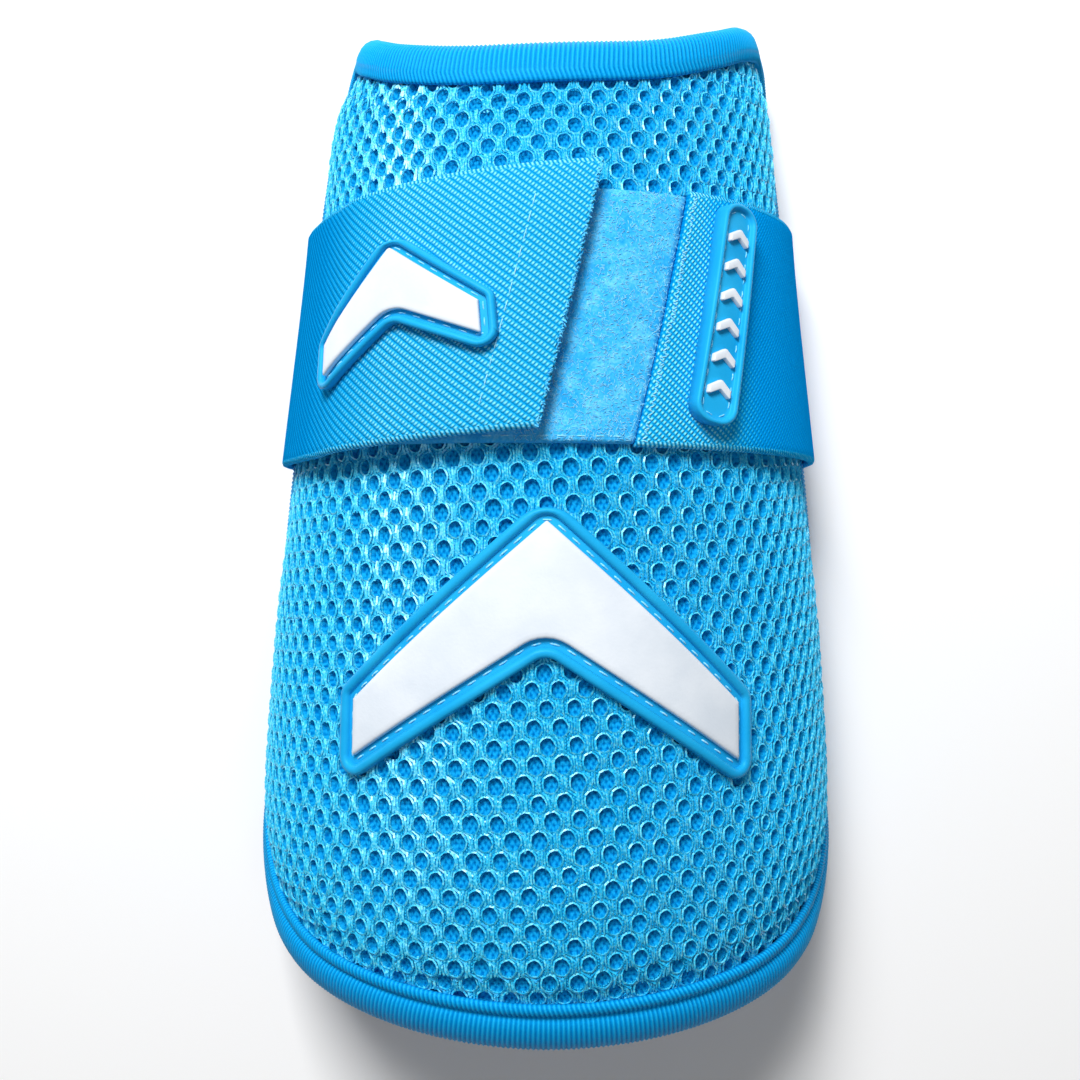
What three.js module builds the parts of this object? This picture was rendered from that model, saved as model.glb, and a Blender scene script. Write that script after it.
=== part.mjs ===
// Padded elbow guard for a batter: a tapered half sleeve of foam under air mesh, bound all round
// its edge and held on by one elastic strap that closes with hook and loop over the front.
// It lies with the open side down. +Z points out of the front, +Y runs up the arm to the narrow
// end, and the origin is on the resting plane under the middle of the guard. Sizes are millimetres.

import * as THREE from "three";

// The outer arch of the sleeve, one row for each station along the arm: its half width, the height of
// its front, the height of the spring line below which its sides drop straight, and a shift sideways.
const SECTIONS = [
  { y: -104, radius: 56.0, front: 60.5, spring: 4.5, shift: 0 },
  { y: -88, radius: 60.0, front: 68.5, spring: 8.5, shift: 0 },
  { y: -66, radius: 62.5, front: 71.0, spring: 8.5, shift: 0 },
  { y: -30, radius: 60.5, front: 69.5, spring: 9.0, shift: 0 },
  { y: 10, radius: 56.0, front: 66.0, spring: 10.0, shift: 0 },
  { y: 50, radius: 51.6, front: 60.0, spring: 10.0, shift: 0 },
  { y: 80, radius: 49.0, front: 50.0, spring: 11.0, shift: 0.2 },
  { y: 97, radius: 45.2, front: 44.0, spring: 12.0, shift: 1.6 },
  { y: 112, radius: 35.0, front: 38.0, spring: 12.0, shift: 3.9 },
];

// The station that lies over the origin, at the middle of the guard's length.
const MIDDLE_Y = 2.0;

// The cut edge, from the lower centre up to the upper centre. "across" is measured round the arch from
// the front centre; the side rows give the edge's height over the resting plane instead. The upper
// corner on the +X side stands up further than the other.
const LOWER_EDGE = [
  { across: 0, y: -101.2 },
  { across: 42, y: -97.5 },
  { across: 64, y: -92.5 },
  { across: 84, y: -83.0 },
];
const SIDE_EDGE = [
  { height: 3.2, y: -62 },
  { height: 2.8, y: -44 },
  { height: 2.5, y: -26 },
  { height: 9.0, y: 8 },
  { height: 9.0, y: 38 },
  { height: 8.5, y: 58 },
  { height: 4.4, y: 78 },
  { height: 4.6, y: 94 },
];
const UPPER_EDGE = [
  { across: 65, right: 105.0, left: 103.2 },
  { across: 48, right: 103.0, left: 98.8 },
  { across: 36, right: 98.6, left: 95.0 },
  { across: 20, right: 93.6, left: 92.0 },
  { across: 0, right: 91.7, left: 91.7 },
];

const EDGE_SAMPLES = 72;
const RINGS_INWARD = [0.08, 0.22, 0.4, 0.6, 0.8, 1];
const MIDDLE_LOOP = { across: 0.08, y: 0.62 };

const MESH = { thickness: 3.0, atEdge: 1.5, dipAtEdge: 1.2 };
const FOAM = { thickness: 7.0, atEdge: 2.5, taperEnds: 32 };
const GAP = 0.3;

// Binding tape: how far it reaches in over the guard, and its thickness.
const TAPE = { lip: 9.0, thickness: 1.2, pinchEnds: 17, overhang: 2.0 };

// Elastic strap, two inches wide. "turn" is the share of the way round the loop, from the front
// centre over the +X side and along the back to the front centre again.
const STRAP = { width: 50.8, thickness: 2.0, corner: 4.0, stations: 72, stepsAcross: 4 };
const STRAP_ROUTE = [
  { turn: 0.04, centre: 36.4, standOff: 0.3 },
  { turn: 0.13, centre: 36.2, standOff: 1.0 },
  { turn: 0.24, centre: 35.8, standOff: 1.2 },
  { turn: 0.5, centre: 34.8, standOff: 1.1 },
  { turn: 0.78, centre: 34.2, standOff: 1.2 },
  { turn: 0.835, centre: 34.6, standOff: 2.7 },
  { turn: 0.87, centre: 35.6, standOff: 4.4 },
  { turn: 1.03, centre: 40.4, standOff: 4.4 },
];
const SEWN_END = { turn: 0.076, slant: 0.27 };
const FREE_END = { turn: 1.014, slant: 0.22 };

// Hook-and-loop patches under the strap's free end.
const LOOP_PATCH = { left: -47.5, height: 48.8, centre: 35.8, thickness: 1.7, columns: 12 };
const HOOK_PATCH = { length: 36, margin: 5, height: 44, thickness: 1.5, columns: 8 };

// Moulded rubber badges: a sewn base with a raised rim, and a plain chevron face on the two larger. The
// label's base is the thickest.
const MOULDING = { base: 0.8, rim: 1.9, rimWidth: 2.0, faceRise: 1.1, channel: 1.7 };
const FRONT_BADGE = { halfSpan: 41, rise: 37, tip: 19, apex: 29, across: 0, y: -26, lean: 0 };
const STRAP_BADGE = { halfSpan: 18, rise: 17, tip: 12, apex: 18, turn: 0.906, offset: 1, lean: 0.1 };
const SIDE_LABEL = { length: 45, radius: 4.2, turn: 0.117, offset: 1.2, lean: 1.34 };
const LABEL_MOULDING = { base: 2.2, rim: 3.3, rimWidth: 1.0 };
const LABEL_MARK = { count: 6, pitch: 6.2, halfSpan: 2.3, rise: 1.8, tip: 1.8, apex: 2.0, height: 0.7 };
const RAIL_STEPS = 12;

const COLOURS = {
  mesh: 0x2f9fdc,
  foam: 0x1478bd,
  tape: 0x0f86d2,
  elastic: 0x1d9be6,
  loop: 0x5ab6ee,
  hook: 0x2a8fd4,
  rubber: 0x22a0dc,
  white: 0xedf3fa,
};

// A table's column at a position along its key, on a smooth curve that never overshoots its rows.
function along(rows, key, column, position) {
  const last = rows.length - 1;
  let k = 0;
  while (k < last - 1 && position > rows[k + 1][key]) k++;
  const pitch = (i) => (rows[i + 1][column] - rows[i][column]) / (rows[i + 1][key] - rows[i][key]);
  const slope = (i) => {
    if (i === 0) return pitch(0);
    if (i === last) return pitch(last - 1);
    const product = pitch(i - 1) * pitch(i);
    return product > 0 ? (2 * product) / (pitch(i - 1) + pitch(i)) : 0;
  };
  const step = rows[k + 1][key] - rows[k][key];
  const t = (position - rows[k][key]) / step;
  const ease = t * t * (3 - 2 * t);
  const level = rows[k][column] + (rows[k + 1][column] - rows[k][column]) * ease;
  return level + step * t * (1 - t) * (slope(k) * (1 - t) - slope(k + 1) * t);
}

// The arch at a station: half its width, its spring line, and its rise over that.
function archAt(y) {
  const radius = along(SECTIONS, "y", "radius", y);
  const spring = along(SECTIONS, "y", "spring", y);
  return { radius, spring, rise: along(SECTIONS, "y", "front", y) - spring };
}

// A point of the outer surface: round the arch to its spring line, then straight down the side.
function surfacePoint(across, y) {
  const { radius, spring, rise } = archAt(y);
  const shift = along(SECTIONS, "y", "shift", y);
  const side = Math.sign(across);
  const quarter = (radius * Math.PI) / 2;
  const below = Math.max(Math.abs(across) - quarter, 0);
  const angle = Math.min(Math.abs(across), quarter) / radius;
  const x = shift + side * radius * Math.sin(angle);
  return new THREE.Vector3(x, y - MIDDLE_Y, spring + rise * Math.cos(angle) - below);
}

// A point at a height over the outer surface, measured square to it.
function shellPoint(across, y, height) {
  const probe = 0.4;
  const e1 = surfacePoint(across + probe, y).sub(surfacePoint(across - probe, y));
  const e2 = surfacePoint(across, y + probe).sub(surfacePoint(across, y - probe));
  const normal = e1.cross(e2).normalize();
  return surfacePoint(across, y).addScaledVector(normal, height);
}

// The distance round the arch at which the outer surface comes down to a height.
function acrossAtHeight(y, height) {
  const { radius, spring, rise } = archAt(y);
  if (height >= spring) return radius * Math.acos((height - spring) / rise);
  return (radius * Math.PI) / 2 + spring - height;
}

// The cut edge as a closed curve in the plane of (across, y), up the +X side and down the other.
function edgeCurve() {
  const side = SIDE_EDGE.map(({ height, y }) => ({ across: acrossAtHeight(y, height), y }));
  const rightUpper = UPPER_EDGE.map(({ across, right }) => ({ across, y: right }));
  const leftUpper = UPPER_EDGE.map(({ across, left }) => ({ across, y: left }));
  const right = [...LOWER_EDGE, ...side, ...rightUpper];
  const left = [...LOWER_EDGE, ...side, ...leftUpper].slice(1, -1).reverse();
  const points = [
    ...right.map(({ across, y }) => new THREE.Vector3(across, y, 0)),
    ...left.map(({ across, y }) => new THREE.Vector3(-across, y, 0)),
  ];
  const curve = new THREE.CatmullRomCurve3(points, true, "centripetal");
  curve.arcLengthDivisions = 800;
  return curve;
}

// Samples of the edge, half a step off the centre line so that each has a twin across from it.
const edge = edgeCurve();
const edgeSamples = Array.from({ length: EDGE_SAMPLES }, (_, i) => {
  const share = (i + 0.5) / EDGE_SAMPLES;
  const at = edge.getPointAt(share);
  const tangent = edge.getTangentAt(share);
  return { at, inward: new THREE.Vector3(-tangent.y, tangent.x, 0) };
});

// A surface skinned over rings of equal count. The first and last rings are closed by a strip
// between opposite points, or joined to each other when the rings go all the way round. Each cell is
// cut along its shorter diagonal, so layers that lie on each other have matching facets.
function skin(rings, roundTrip = false) {
  const count = rings[0].length;
  const points = rings.flat();
  const index = [];
  const quad = (a, b, c, d) => {
    const cutAC = points[a].distanceTo(points[c]) < points[b].distanceTo(points[d]);
    index.push(...(cutAC ? [a, b, c, a, c, d] : [b, c, d, b, d, a]));
  };
  const joins = roundTrip ? rings.length : rings.length - 1;
  for (let k = 0; k < joins; k++) {
    const here = k * count;
    const next = ((k + 1) % rings.length) * count;
    for (let i = 0; i < count; i++) {
      const j = (i + 1) % count;
      quad(here + i, here + j, next + j, next + i);
    }
  }
  if (!roundTrip) {
    const end = (rings.length - 1) * count;
    for (let i = 0; i < count / 2 - 1; i++) {
      const twin = count - 1 - i;
      quad(i + 1, i, twin, twin - 1);
      quad(end + i, end + i + 1, end + twin - 1, end + twin);
    }
  }
  return new THREE.BufferGeometry().setFromPoints(points).setIndex(facingOut(points, index));
}

// The triangles, turned round if they would face into the solid.
function facingOut(points, index) {
  let volume = 0;
  for (let i = 0; i < index.length; i += 3) {
    const [a, b, c] = [points[index[i]], points[index[i + 1]], points[index[i + 2]]];
    volume += a.dot(b.clone().cross(c));
  }
  if (volume > 0) return index;
  return index.map((_, i) => index[i - (i % 3) + (2 - (i % 3))]);
}

// The rings of one face of a layer, from the cut edge in to the middle loop, or back again.
function layerRings(heightAt, outward) {
  const reaches = [0, TAPE.lip / 2, TAPE.lip];
  const rings = reaches.map((reach) =>
    edgeSamples.map(({ at, inward }) => {
      const p = at.clone().addScaledVector(inward, reach);
      return shellPoint(p.x, p.y, heightAt(reach));
    }),
  );
  for (const share of RINGS_INWARD) {
    rings.push(
      edgeSamples.map(({ at, inward }) => {
        const lipEnd = at.clone().addScaledVector(inward, TAPE.lip);
        const middle = new THREE.Vector3(at.x * MIDDLE_LOOP.across, at.y * MIDDLE_LOOP.y, 0);
        const reach = TAPE.lip + share * lipEnd.distanceTo(middle);
        const p = lipEnd.lerp(middle, share);
        return shellPoint(p.x, p.y, heightAt(reach));
      }),
    );
  }
  return outward ? rings.reverse() : rings;
}

// Thicknesses swell from the pinched edge to the full layer.
const swell = (reach, ends) => THREE.MathUtils.smoothstep(reach, TAPE.lip, ends);
const meshTop = (reach) => MESH.dipAtEdge * (swell(reach, TAPE.pinchEnds) - 1);
const meshBottom = (reach) =>
  meshTop(reach) - MESH.atEdge - (MESH.thickness - MESH.atEdge) * swell(reach, TAPE.pinchEnds);
const foamTop = (reach) => meshBottom(reach) - 1.5 * GAP;
const foamBottom = (reach) =>
  foamTop(reach) - FOAM.atEdge - (FOAM.thickness - FOAM.atEdge) * swell(reach, FOAM.taperEnds);

// A layer of the sleeve between two heights over the outer surface.
function layer(top, bottom) {
  return skin([...layerRings(bottom, true), ...layerRings(top, false)]);
}

// Tape folded round the edge: a C section with a stitched groove near the end of its front lip.
function binding() {
  const front = meshTop(0) + GAP;
  const back = foamBottom(0) - GAP;
  const middle = (front + back) / 2;
  const { lip, thickness, overhang } = TAPE;
  const section = [
    { reach: lip, height: front },
    { reach: lip / 2, height: front },
    { reach: -GAP, height: front },
    { reach: -GAP, height: back },
    { reach: lip / 2, height: back },
    { reach: lip, height: back },
    { reach: lip, height: back - thickness },
    { reach: 1.0, height: back - thickness - 0.3 },
    { reach: 0.7 - overhang, height: back - 0.6 },
    { reach: -overhang, height: middle },
    { reach: 0.7 - overhang, height: front + 0.6 },
    { reach: 1.0, height: front + thickness + 0.4 },
    { reach: lip - 3.8, height: front + thickness + 0.2 },
    { reach: lip - 2.8, height: front + thickness - 0.6 },
    { reach: lip - 1.9, height: front + thickness },
    { reach: lip, height: front + thickness - 0.2 },
  ];
  const rings = edgeSamples.map(({ at, inward }) =>
    section.map(({ reach, height }) => {
      const p = at.clone().addScaledVector(inward, reach);
      return shellPoint(p.x, p.y, height);
    }),
  );
  return skin(rings, true);
}

// Half the length of the strap's loop at a station, by its stretches: over the arch, down the side,
// round the corner and along the back.
function loopAt(y, standOff) {
  const { radius, spring, rise } = archAt(y);
  const outer = radius + standOff;
  const drop = spring - STRAP.thickness - STRAP.corner;
  const stretches = [(outer * Math.PI) / 2, drop, (STRAP.corner * Math.PI) / 2, outer - STRAP.corner];
  return { outer, spring, rise: rise + standOff, stretches, half: stretches.reduce((sum, part) => sum + part) };
}

// A point over the strap's inner face, at a share of the way round and a distance across the strap.
function strapPoint(turn, offset, height) {
  const y = along(STRAP_ROUTE, "turn", "centre", turn) + offset;
  const { outer, spring, rise, stretches, half } = loopAt(y, along(STRAP_ROUTE, "turn", "standOff", turn));
  const [arch, drop, corner] = stretches;
  const share = turn - Math.floor(turn);
  const side = share < 0.5 ? 1 : -1;
  const way = 2 * half * Math.min(share, 1 - share);
  const floor = STRAP.thickness;
  let x = outer;
  let z = spring - (way - arch);
  let angle = Math.PI / 2;
  if (way < arch) {
    angle = way / outer;
    x = outer * Math.sin(angle);
    z = spring + rise * Math.cos(angle);
  } else if (way > arch + drop + corner) {
    angle = Math.PI;
    x = half - way;
    z = floor;
  } else if (way > arch + drop) {
    angle += (way - arch - drop) / STRAP.corner;
    x = outer - STRAP.corner + STRAP.corner * Math.sin(angle);
    z = floor + STRAP.corner + STRAP.corner * Math.cos(angle);
  }
  const [sin, cos] = [Math.sin(angle), Math.cos(angle)];
  return new THREE.Vector3(side * (x + height * sin), y - MIDDLE_Y, z + height * cos);
}

// Share of the loop that a length along the strap makes, at the middle of the front.
const loopLength = 2 * loopAt(STRAP_ROUTE[0].centre, STRAP_ROUTE[0].standOff).half;
const turnOf = (length) => length / loopLength;

// The distance round the arch that lies under a place on the strap's front.
function acrossAtTurn(turn, y) {
  const { outer, half } = loopAt(y, along(STRAP_ROUTE, "turn", "standOff", turn));
  return (2 * half * turn * archAt(y).radius) / outer;
}

// A flat strip with square edges, skinned over its cross sections.
function strip(point, columns, offsets, low, high) {
  const rings = [];
  for (let i = 0; i <= columns; i++) {
    const bottom = offsets.map((offset) => point(i / columns, offset, low));
    const top = offsets.map((offset) => point(i / columns, offset, high));
    rings.push([...bottom, ...top.reverse()]);
  }
  return skin(rings);
}

// Places across a strip of a given width, from one edge to the other.
function offsetsOver(width, parts = STRAP.stepsAcross) {
  return Array.from({ length: parts + 1 }, (_, j) => width * (j / parts - 0.5));
}

const sewnTurn = (offset) => SEWN_END.turn + turnOf(offset * SEWN_END.slant);
const freeTurn = (offset) => FREE_END.turn + turnOf(offset * FREE_END.slant);

function strap() {
  const point = (share, offset, height) =>
    strapPoint(THREE.MathUtils.lerp(sewnTurn(offset), freeTurn(offset), share), offset, height);
  return strip(point, STRAP.stations, offsetsOver(STRAP.width), 0, STRAP.thickness);
}

// Loop patch: sewn to the mesh, from under the strap's free end to its sewn end.
function loopPatch() {
  const point = (share, offset, height) => {
    const y = LOOP_PATCH.centre + offset;
    const right = acrossAtTurn(sewnTurn(offset), y) - 3 * GAP;
    return shellPoint(THREE.MathUtils.lerp(LOOP_PATCH.left, right, share), y, height);
  };
  return strip(point, LOOP_PATCH.columns, offsetsOver(LOOP_PATCH.height), GAP, GAP + LOOP_PATCH.thickness);
}

// Hook patch: sewn under the strap's free end, set back from its cut edge.
function hookPatch() {
  const point = (share, offset, height) => {
    const end = freeTurn(offset) - turnOf(HOOK_PATCH.margin);
    return strapPoint(end - turnOf(HOOK_PATCH.length) * (1 - share), offset, height);
  };
  const low = -GAP - HOOK_PATCH.thickness;
  return strip(point, HOOK_PATCH.columns, offsetsOver(HOOK_PATCH.height), low, -GAP);
}

// The outline of a chevron with its point up, set in by a distance all round: an upper rail and a
// lower one, each from the left tip to the right.
function chevronOutline({ halfSpan, rise, tip, apex }, inset) {
  const upperSlope = rise / halfSpan;
  const lowerSlope = (rise + tip - apex) / halfSpan;
  const reach = halfSpan - inset;
  const top = (rise + tip) / 2;
  const xs = Array.from({ length: RAIL_STEPS + 1 }, (_, i) => reach * ((2 * i) / RAIL_STEPS - 1));
  const upper = xs.map((x) => [x, top - Math.abs(x) * upperSlope - inset * Math.hypot(1, upperSlope)]);
  const lower = xs.map((x) => [x, top - apex - Math.abs(x) * lowerSlope + inset * Math.hypot(1, lowerSlope)]);
  return [...upper, ...lower.reverse()];
}

// The outline of a bar with round ends, set in by a distance all round, as two such rails.
function barOutline({ length, radius }, inset) {
  const half = length / 2 - radius;
  const r = radius - inset;
  const round = [4, 30, 60].map((degrees) => (degrees * Math.PI) / 180);
  const rightEnd = round.map((angle) => [half + r * Math.cos(angle), r * Math.sin(angle)]).reverse();
  const leftEnd = rightEnd.map(([x, y]) => [-x, y]).reverse();
  const straight = Array.from({ length: RAIL_STEPS + 1 }, (_, i) => [half * ((2 * i) / RAIL_STEPS - 1), r]);
  const upper = [...leftEnd, ...straight, ...rightEnd];
  return [...upper, ...upper.map(([x, y]) => [x, -y]).reverse()];
}

// A moulding built up from outlines at rising heights, laid on a surface by its own map.
function moulding(outline, levels, lay) {
  return skin(levels.map(({ inset, height }) => outline(inset).map(([a, b]) => lay(a, b, height))));
}

// The levels of a sewn base: its sides, its rounded rim and the sunk floor inside.
function baseLevels({ base, rim, rimWidth }) {
  return [
    { inset: 0.2, height: GAP },
    { inset: 0, height: GAP + base },
    { inset: 0.5, height: GAP + rim },
    { inset: rimWidth - 0.5, height: GAP + rim },
    { inset: rimWidth, height: GAP + base },
  ];
}

// The levels of the raised face that stands on a base's floor inside the stitch channel.
function faceLevels({ base, rimWidth, channel, faceRise }) {
  const inset = rimWidth + channel;
  return [
    { inset, height: 2 * GAP + base },
    { inset, height: GAP + base + faceRise },
    { inset: inset + 0.4, height: 2 * GAP + base + faceRise },
  ];
}

// Turns a badge's own plane and shifts it to its place on what it is sewn to.
function turned(lean, place) {
  const [cos, sin] = [Math.cos(lean), Math.sin(lean)];
  return (a, b, height) => place(a * cos - b * sin, a * sin + b * cos, height);
}

const onGuard = ({ across, y, lean }) =>
  turned(lean, (a, b, height) => shellPoint(across + a, y + b, height));
const onStrap = ({ turn, offset, lean }) =>
  turned(lean, (a, b, height) => strapPoint(turn + turnOf(a), offset + b, STRAP.thickness + height));

const fabric = (colour) => new THREE.MeshStandardMaterial({ color: colour, roughness: 0.85, metalness: 0 });
const rubber = (colour) => new THREE.MeshStandardMaterial({ color: colour, roughness: 0.5, metalness: 0 });

const guard = new THREE.Group();

function add(name, geometry, material) {
  const mesh = new THREE.Mesh(geometry, material);
  mesh.name = name;
  guard.add(mesh);
}

function addBadge(name, sizes, lay) {
  const outline = (inset) => chevronOutline(sizes, inset);
  add(name, moulding(outline, baseLevels(MOULDING), lay), rubber(COLOURS.rubber));
  add(`${name}_face`, moulding(outline, faceLevels(MOULDING), lay), rubber(COLOURS.white));
}

// The label holds a row of small raised chevrons that point along it.
function addLabel() {
  const lay = onStrap(SIDE_LABEL);
  const outline = (inset) => barOutline(SIDE_LABEL, inset);
  add("side_label", moulding(outline, baseLevels(LABEL_MOULDING), lay), rubber(COLOURS.rubber));
  const low = 2 * GAP + LABEL_MOULDING.base;
  const levels = [
    { inset: 0, height: low },
    { inset: 0.15, height: low + LABEL_MARK.height },
  ];
  for (let i = 0; i < LABEL_MARK.count; i++) {
    const shift = (i - (LABEL_MARK.count - 1) / 2) * LABEL_MARK.pitch;
    const place = turned(-Math.PI / 2, (a, b, height) => lay(shift + a, b, height));
    const mark = moulding((inset) => chevronOutline(LABEL_MARK, inset), levels, place);
    add(`label_mark_${i + 1}`, mark, rubber(COLOURS.white));
  }
}

add("foam_pad", layer(foamTop, foamBottom), fabric(COLOURS.foam));
add("mesh_cover", layer(meshTop, meshBottom), fabric(COLOURS.mesh));
add("edge_binding", binding(), fabric(COLOURS.tape));
add("loop_patch", loopPatch(), fabric(COLOURS.loop));
add("hook_patch", hookPatch(), fabric(COLOURS.hook));
add("strap", strap(), fabric(COLOURS.elastic));
addBadge("front_badge", FRONT_BADGE, onGuard(FRONT_BADGE));
addBadge("strap_badge", STRAP_BADGE, onStrap(STRAP_BADGE));
addLabel();

export default guard;
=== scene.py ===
import math
from functools import partial

import bpy
import numpy as np
from mathutils import Matrix


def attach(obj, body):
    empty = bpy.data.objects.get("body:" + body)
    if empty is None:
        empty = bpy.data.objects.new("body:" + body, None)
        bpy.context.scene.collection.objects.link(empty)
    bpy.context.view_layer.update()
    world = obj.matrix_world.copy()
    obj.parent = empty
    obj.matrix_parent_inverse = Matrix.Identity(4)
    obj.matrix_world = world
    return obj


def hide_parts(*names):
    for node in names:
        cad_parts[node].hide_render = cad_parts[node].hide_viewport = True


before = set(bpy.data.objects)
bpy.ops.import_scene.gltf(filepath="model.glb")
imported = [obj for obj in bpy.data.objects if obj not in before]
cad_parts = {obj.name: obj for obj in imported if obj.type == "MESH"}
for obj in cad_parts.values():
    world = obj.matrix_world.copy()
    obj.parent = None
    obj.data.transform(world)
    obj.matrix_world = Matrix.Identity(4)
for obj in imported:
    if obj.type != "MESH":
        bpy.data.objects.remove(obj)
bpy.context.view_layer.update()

# Foam pad. The body of the guard is a half sleeve of soft foam, about 7 mm thick in the middle and
# pressed thin along its edge, faced on the arm side with a plain blue jersey. It tapers to the narrow
# end, and every other layer is sewn down on it.

# The sleeve at stations along it: half its width, how high its front stands, how high its arch springs
# from, and its shift to the right. The frame's middle is a little past the station at 0.
sleeve = {
    "along": [-0.104, -0.088, -0.066, -0.030, 0.010, 0.050, 0.080, 0.097, 0.112],
    "radius": [0.0560, 0.0600, 0.0625, 0.0605, 0.0560, 0.0516, 0.0490, 0.0452, 0.0350],
    "front": [0.0605, 0.0685, 0.0710, 0.0695, 0.0660, 0.0600, 0.0500, 0.0440, 0.0380],
    "spring": [0.0045, 0.0085, 0.0085, 0.0090, 0.0100, 0.0100, 0.0110, 0.0120, 0.0120],
    "shift": [0, 0, 0, 0, 0, 0, 0.0002, 0.0016, 0.0039],
}
middle_along = 0.0020


def eased(xs, ys, x):
    """A smooth curve through (xs, ys) that never overshoots them, read at x."""
    xs, ys, x = np.asarray(xs), np.asarray(ys), np.asarray(x, float)
    pitch = np.diff(ys) / np.diff(xs)
    product = pitch[:-1] * pitch[1:]
    total = np.where(product > 0, pitch[:-1] + pitch[1:], 1)
    slope = np.concatenate([pitch[:1], np.where(product > 0, 2 * product / total, 0), pitch[-1:]])
    k = np.clip(np.searchsorted(xs, x) - 1, 0, len(xs) - 2)
    step = xs[k + 1] - xs[k]
    t = (x - xs[k]) / step
    level = ys[k] + (ys[k + 1] - ys[k]) * t * t * (3 - 2 * t)
    return level + step * t * (1 - t) * (slope[k] * (1 - t) - slope[k + 1] * t)


def arch(along):
    """The sleeve's arch at a station: half its width, its spring line, and its rise over that."""
    columns = ("radius", "front", "spring")
    radius, front, spring = (eased(sleeve["along"], sleeve[column], along) for column in columns)
    return radius, spring, front - spring


def outer_face(across, along):
    """Points of the sleeve's outer face, by the way round from the front centre and the way along."""
    radius, spring, rise = arch(along)
    quarter = radius * math.pi / 2
    angle = np.minimum(np.abs(across), quarter) / radius
    below = np.maximum(np.abs(across) - quarter, 0)
    x = eased(sleeve["along"], sleeve["shift"], along) + np.sign(across) * radius * np.sin(angle)
    return np.stack([x, along - middle_along, spring + rise * np.cos(angle) - below], -1)


def unit(vectors):
    return vectors / np.linalg.norm(vectors, axis=-1, keepdims=True)


def on_sleeve(across, along, height):
    """Points at a height over the sleeve's outer face, square to it."""
    across, along, height = np.broadcast_arrays(across, along, height)
    probe = 0.0004
    round_it = outer_face(across + probe, along) - outer_face(across - probe, along)
    up_it = outer_face(across, along + probe) - outer_face(across, along - probe)
    return outer_face(across, along) + unit(np.cross(round_it, up_it)) * height[..., None]


# The cut edge: across from the front centre, or the height over the table at the sides. The upper
# corner on the right stands up further than the left one.
lower_edge = [(0, -0.1012), (0.042, -0.0975), (0.064, -0.0925), (0.084, -0.0830)]
side_edge = [
    (0.0032, -0.062), (0.0028, -0.044), (0.0025, -0.026), (0.0090, 0.008),
    (0.0090, 0.038), (0.0085, 0.058), (0.0044, 0.078), (0.0046, 0.094),
]
upper_right = [(0.065, 0.1050), (0.048, 0.1030), (0.036, 0.0986), (0.020, 0.0936), (0, 0.0917)]
upper_left = [(0.065, 0.1032), (0.048, 0.0988), (0.036, 0.0950), (0.020, 0.0920)]


def across_at(height, along):
    """The way round from the front centre to a height over the table."""
    radius, spring, rise = arch(along)
    if height >= spring:
        return float(radius * np.arccos((height - spring) / rise))
    return float(radius * math.pi / 2 + spring - height)


def rounded_loop(corners, steps=60):
    """A closed smooth curve through the corners, with its bends spread evenly by their spacing."""
    p0, p1, p2, p3 = (np.roll(corners, k, 0) for k in (1, 0, -1, -2))
    legs = ((p0, p1), (p1, p2), (p2, p3))
    d0, d1, d2 = (np.linalg.norm(b - a, axis=1)[:, None] ** 0.5 for a, b in legs)
    m1 = ((p1 - p0) / d0 - (p2 - p0) / (d0 + d1) + (p2 - p1) / d1) * d1
    m2 = ((p2 - p1) / d1 - (p3 - p1) / (d1 + d2) + (p3 - p2) / d2) * d1
    t = np.linspace(0, 1, steps, endpoint=False)[None, :, None]
    p1, p2, m1, m2 = (v[:, None, :] for v in (p1, p2, m1, m2))
    curve = (2 * t**3 - 3 * t**2 + 1) * p1 + (t**3 - 2 * t**2 + t) * m1
    curve = curve + (3 * t**2 - 2 * t**3) * p2 + (t**3 - t**2) * m2
    return curve.reshape(-1, 2)


one_side = lower_edge + [(across_at(h, y), y) for h, y in side_edge]
other_side = [(-a, y) for a, y in reversed(one_side[1:] + upper_left)]
edge_loop = rounded_loop(np.array(one_side + upper_right + other_side))


def closed_up(loop):
    return np.vstack([loop, loop[:1]])


def walked(path):
    """The distance walked along a path up to each of its points."""
    return np.concatenate([[0], np.cumsum(np.linalg.norm(np.diff(path, axis=0), axis=1))])


def points_at(path, run, distance):
    return np.stack([np.interp(distance, run, path[:, k]) for k in (0, 1)], -1)


def edge_steps(count):
    """Evenly spaced points of the cut edge, half a step off the centre line, with their inward normals."""
    edge = closed_up(edge_loop)
    run = walked(edge)
    points = points_at(edge, run, (np.arange(count) + 0.5) / count * run[-1])
    tangent = unit(np.roll(points, -2, 0) - np.roll(points, 2, 0))
    return points, np.stack([-tangent[:, 1], tangent[:, 0]], -1), run[-1]


# Both layers are thin under the tape's lip and gain their full thickness further in from the edge.
tape_lip = 0.0090
mesh_layer = {"pressed": 0.0012, "thin": 0.00195, "gain": 0.0015, "full_at": 0.017}
foam_layer = {"thin": 0.0025, "gain": 0.0045, "full_at": 0.032}
front_loop = {"width_share": 0.08, "length_share": 0.62}
lip_rings, pad_steps, pad_levels = 5, 200, 15


def swell(reach, full_at):
    t = np.clip((reach - tape_lip) / (full_at - tape_lip), 0, 1)
    return t * t * (3 - 2 * t)


def mesh_top(reach):
    return mesh_layer["pressed"] * (swell(reach, mesh_layer["full_at"]) - 1)


def foam_top(reach):
    return mesh_top(reach) - mesh_layer["thin"] - mesh_layer["gain"] * swell(reach, mesh_layer["full_at"])


def foam_bottom(reach):
    return foam_top(reach) - foam_layer["thin"] - foam_layer["gain"] * swell(reach, foam_layer["full_at"])


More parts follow.
